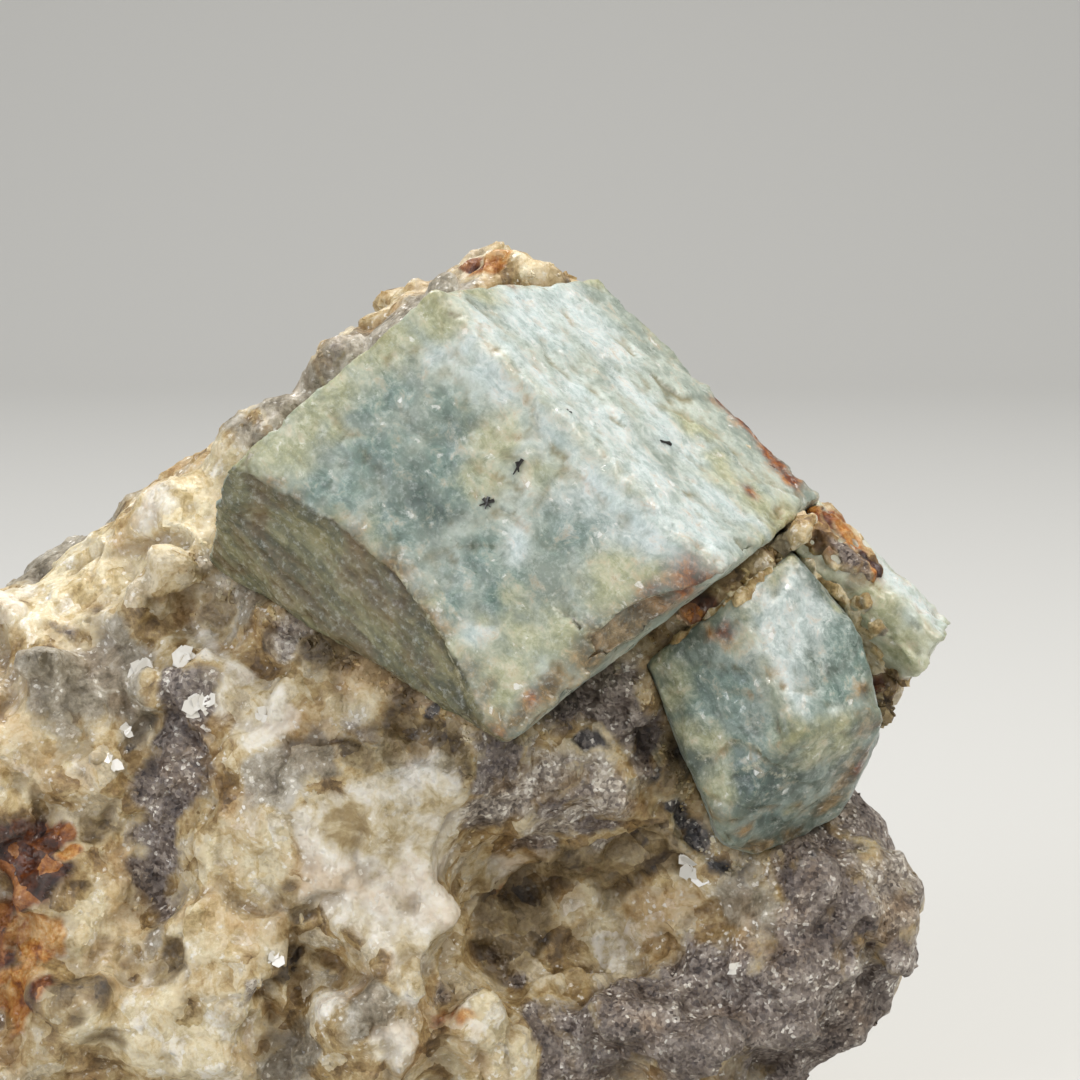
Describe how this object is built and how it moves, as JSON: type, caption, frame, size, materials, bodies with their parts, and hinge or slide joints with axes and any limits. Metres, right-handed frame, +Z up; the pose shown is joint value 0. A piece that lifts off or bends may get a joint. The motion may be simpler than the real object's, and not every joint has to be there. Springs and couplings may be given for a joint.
{
  "type": "aquamarine crystal specimen on matrix",
  "caption": "Milky blue-green six-sided beryl crystals grown together in a rough piece of feldspar, quartz and mica rock; a display mineral specimen that stands on a flat underside.",
  "frame": {"origin": "centre of the object's bounding box in X and Y, on the flat underside that it rests on", "axes": "+Z up, -Y out of the displayed front, +X to the right as seen from the front"},
  "size_m": [0.1226, 0.0568, 0.0951],
  "materials": {
    "pegmatite": "rough broken rock: cream feldspar, milky quartz, smoky sugary rock, rust stains and mica",
    "milky_beryl": "milky translucent crystal faces with a waxy to glassy lustre",
    "teal_beryl": "milky translucent crystal with teal depths and a broken end",
    "pale_beryl": "pale greenish white crystal, partly crusted"
  },
  "bodies": {
    "root": {"matrix": "pegmatite", "main_crystal": "milky_beryl", "lower_crystal": "teal_beryl", "edge_crystal": "pale_beryl"}
  },
  "joints": []
}
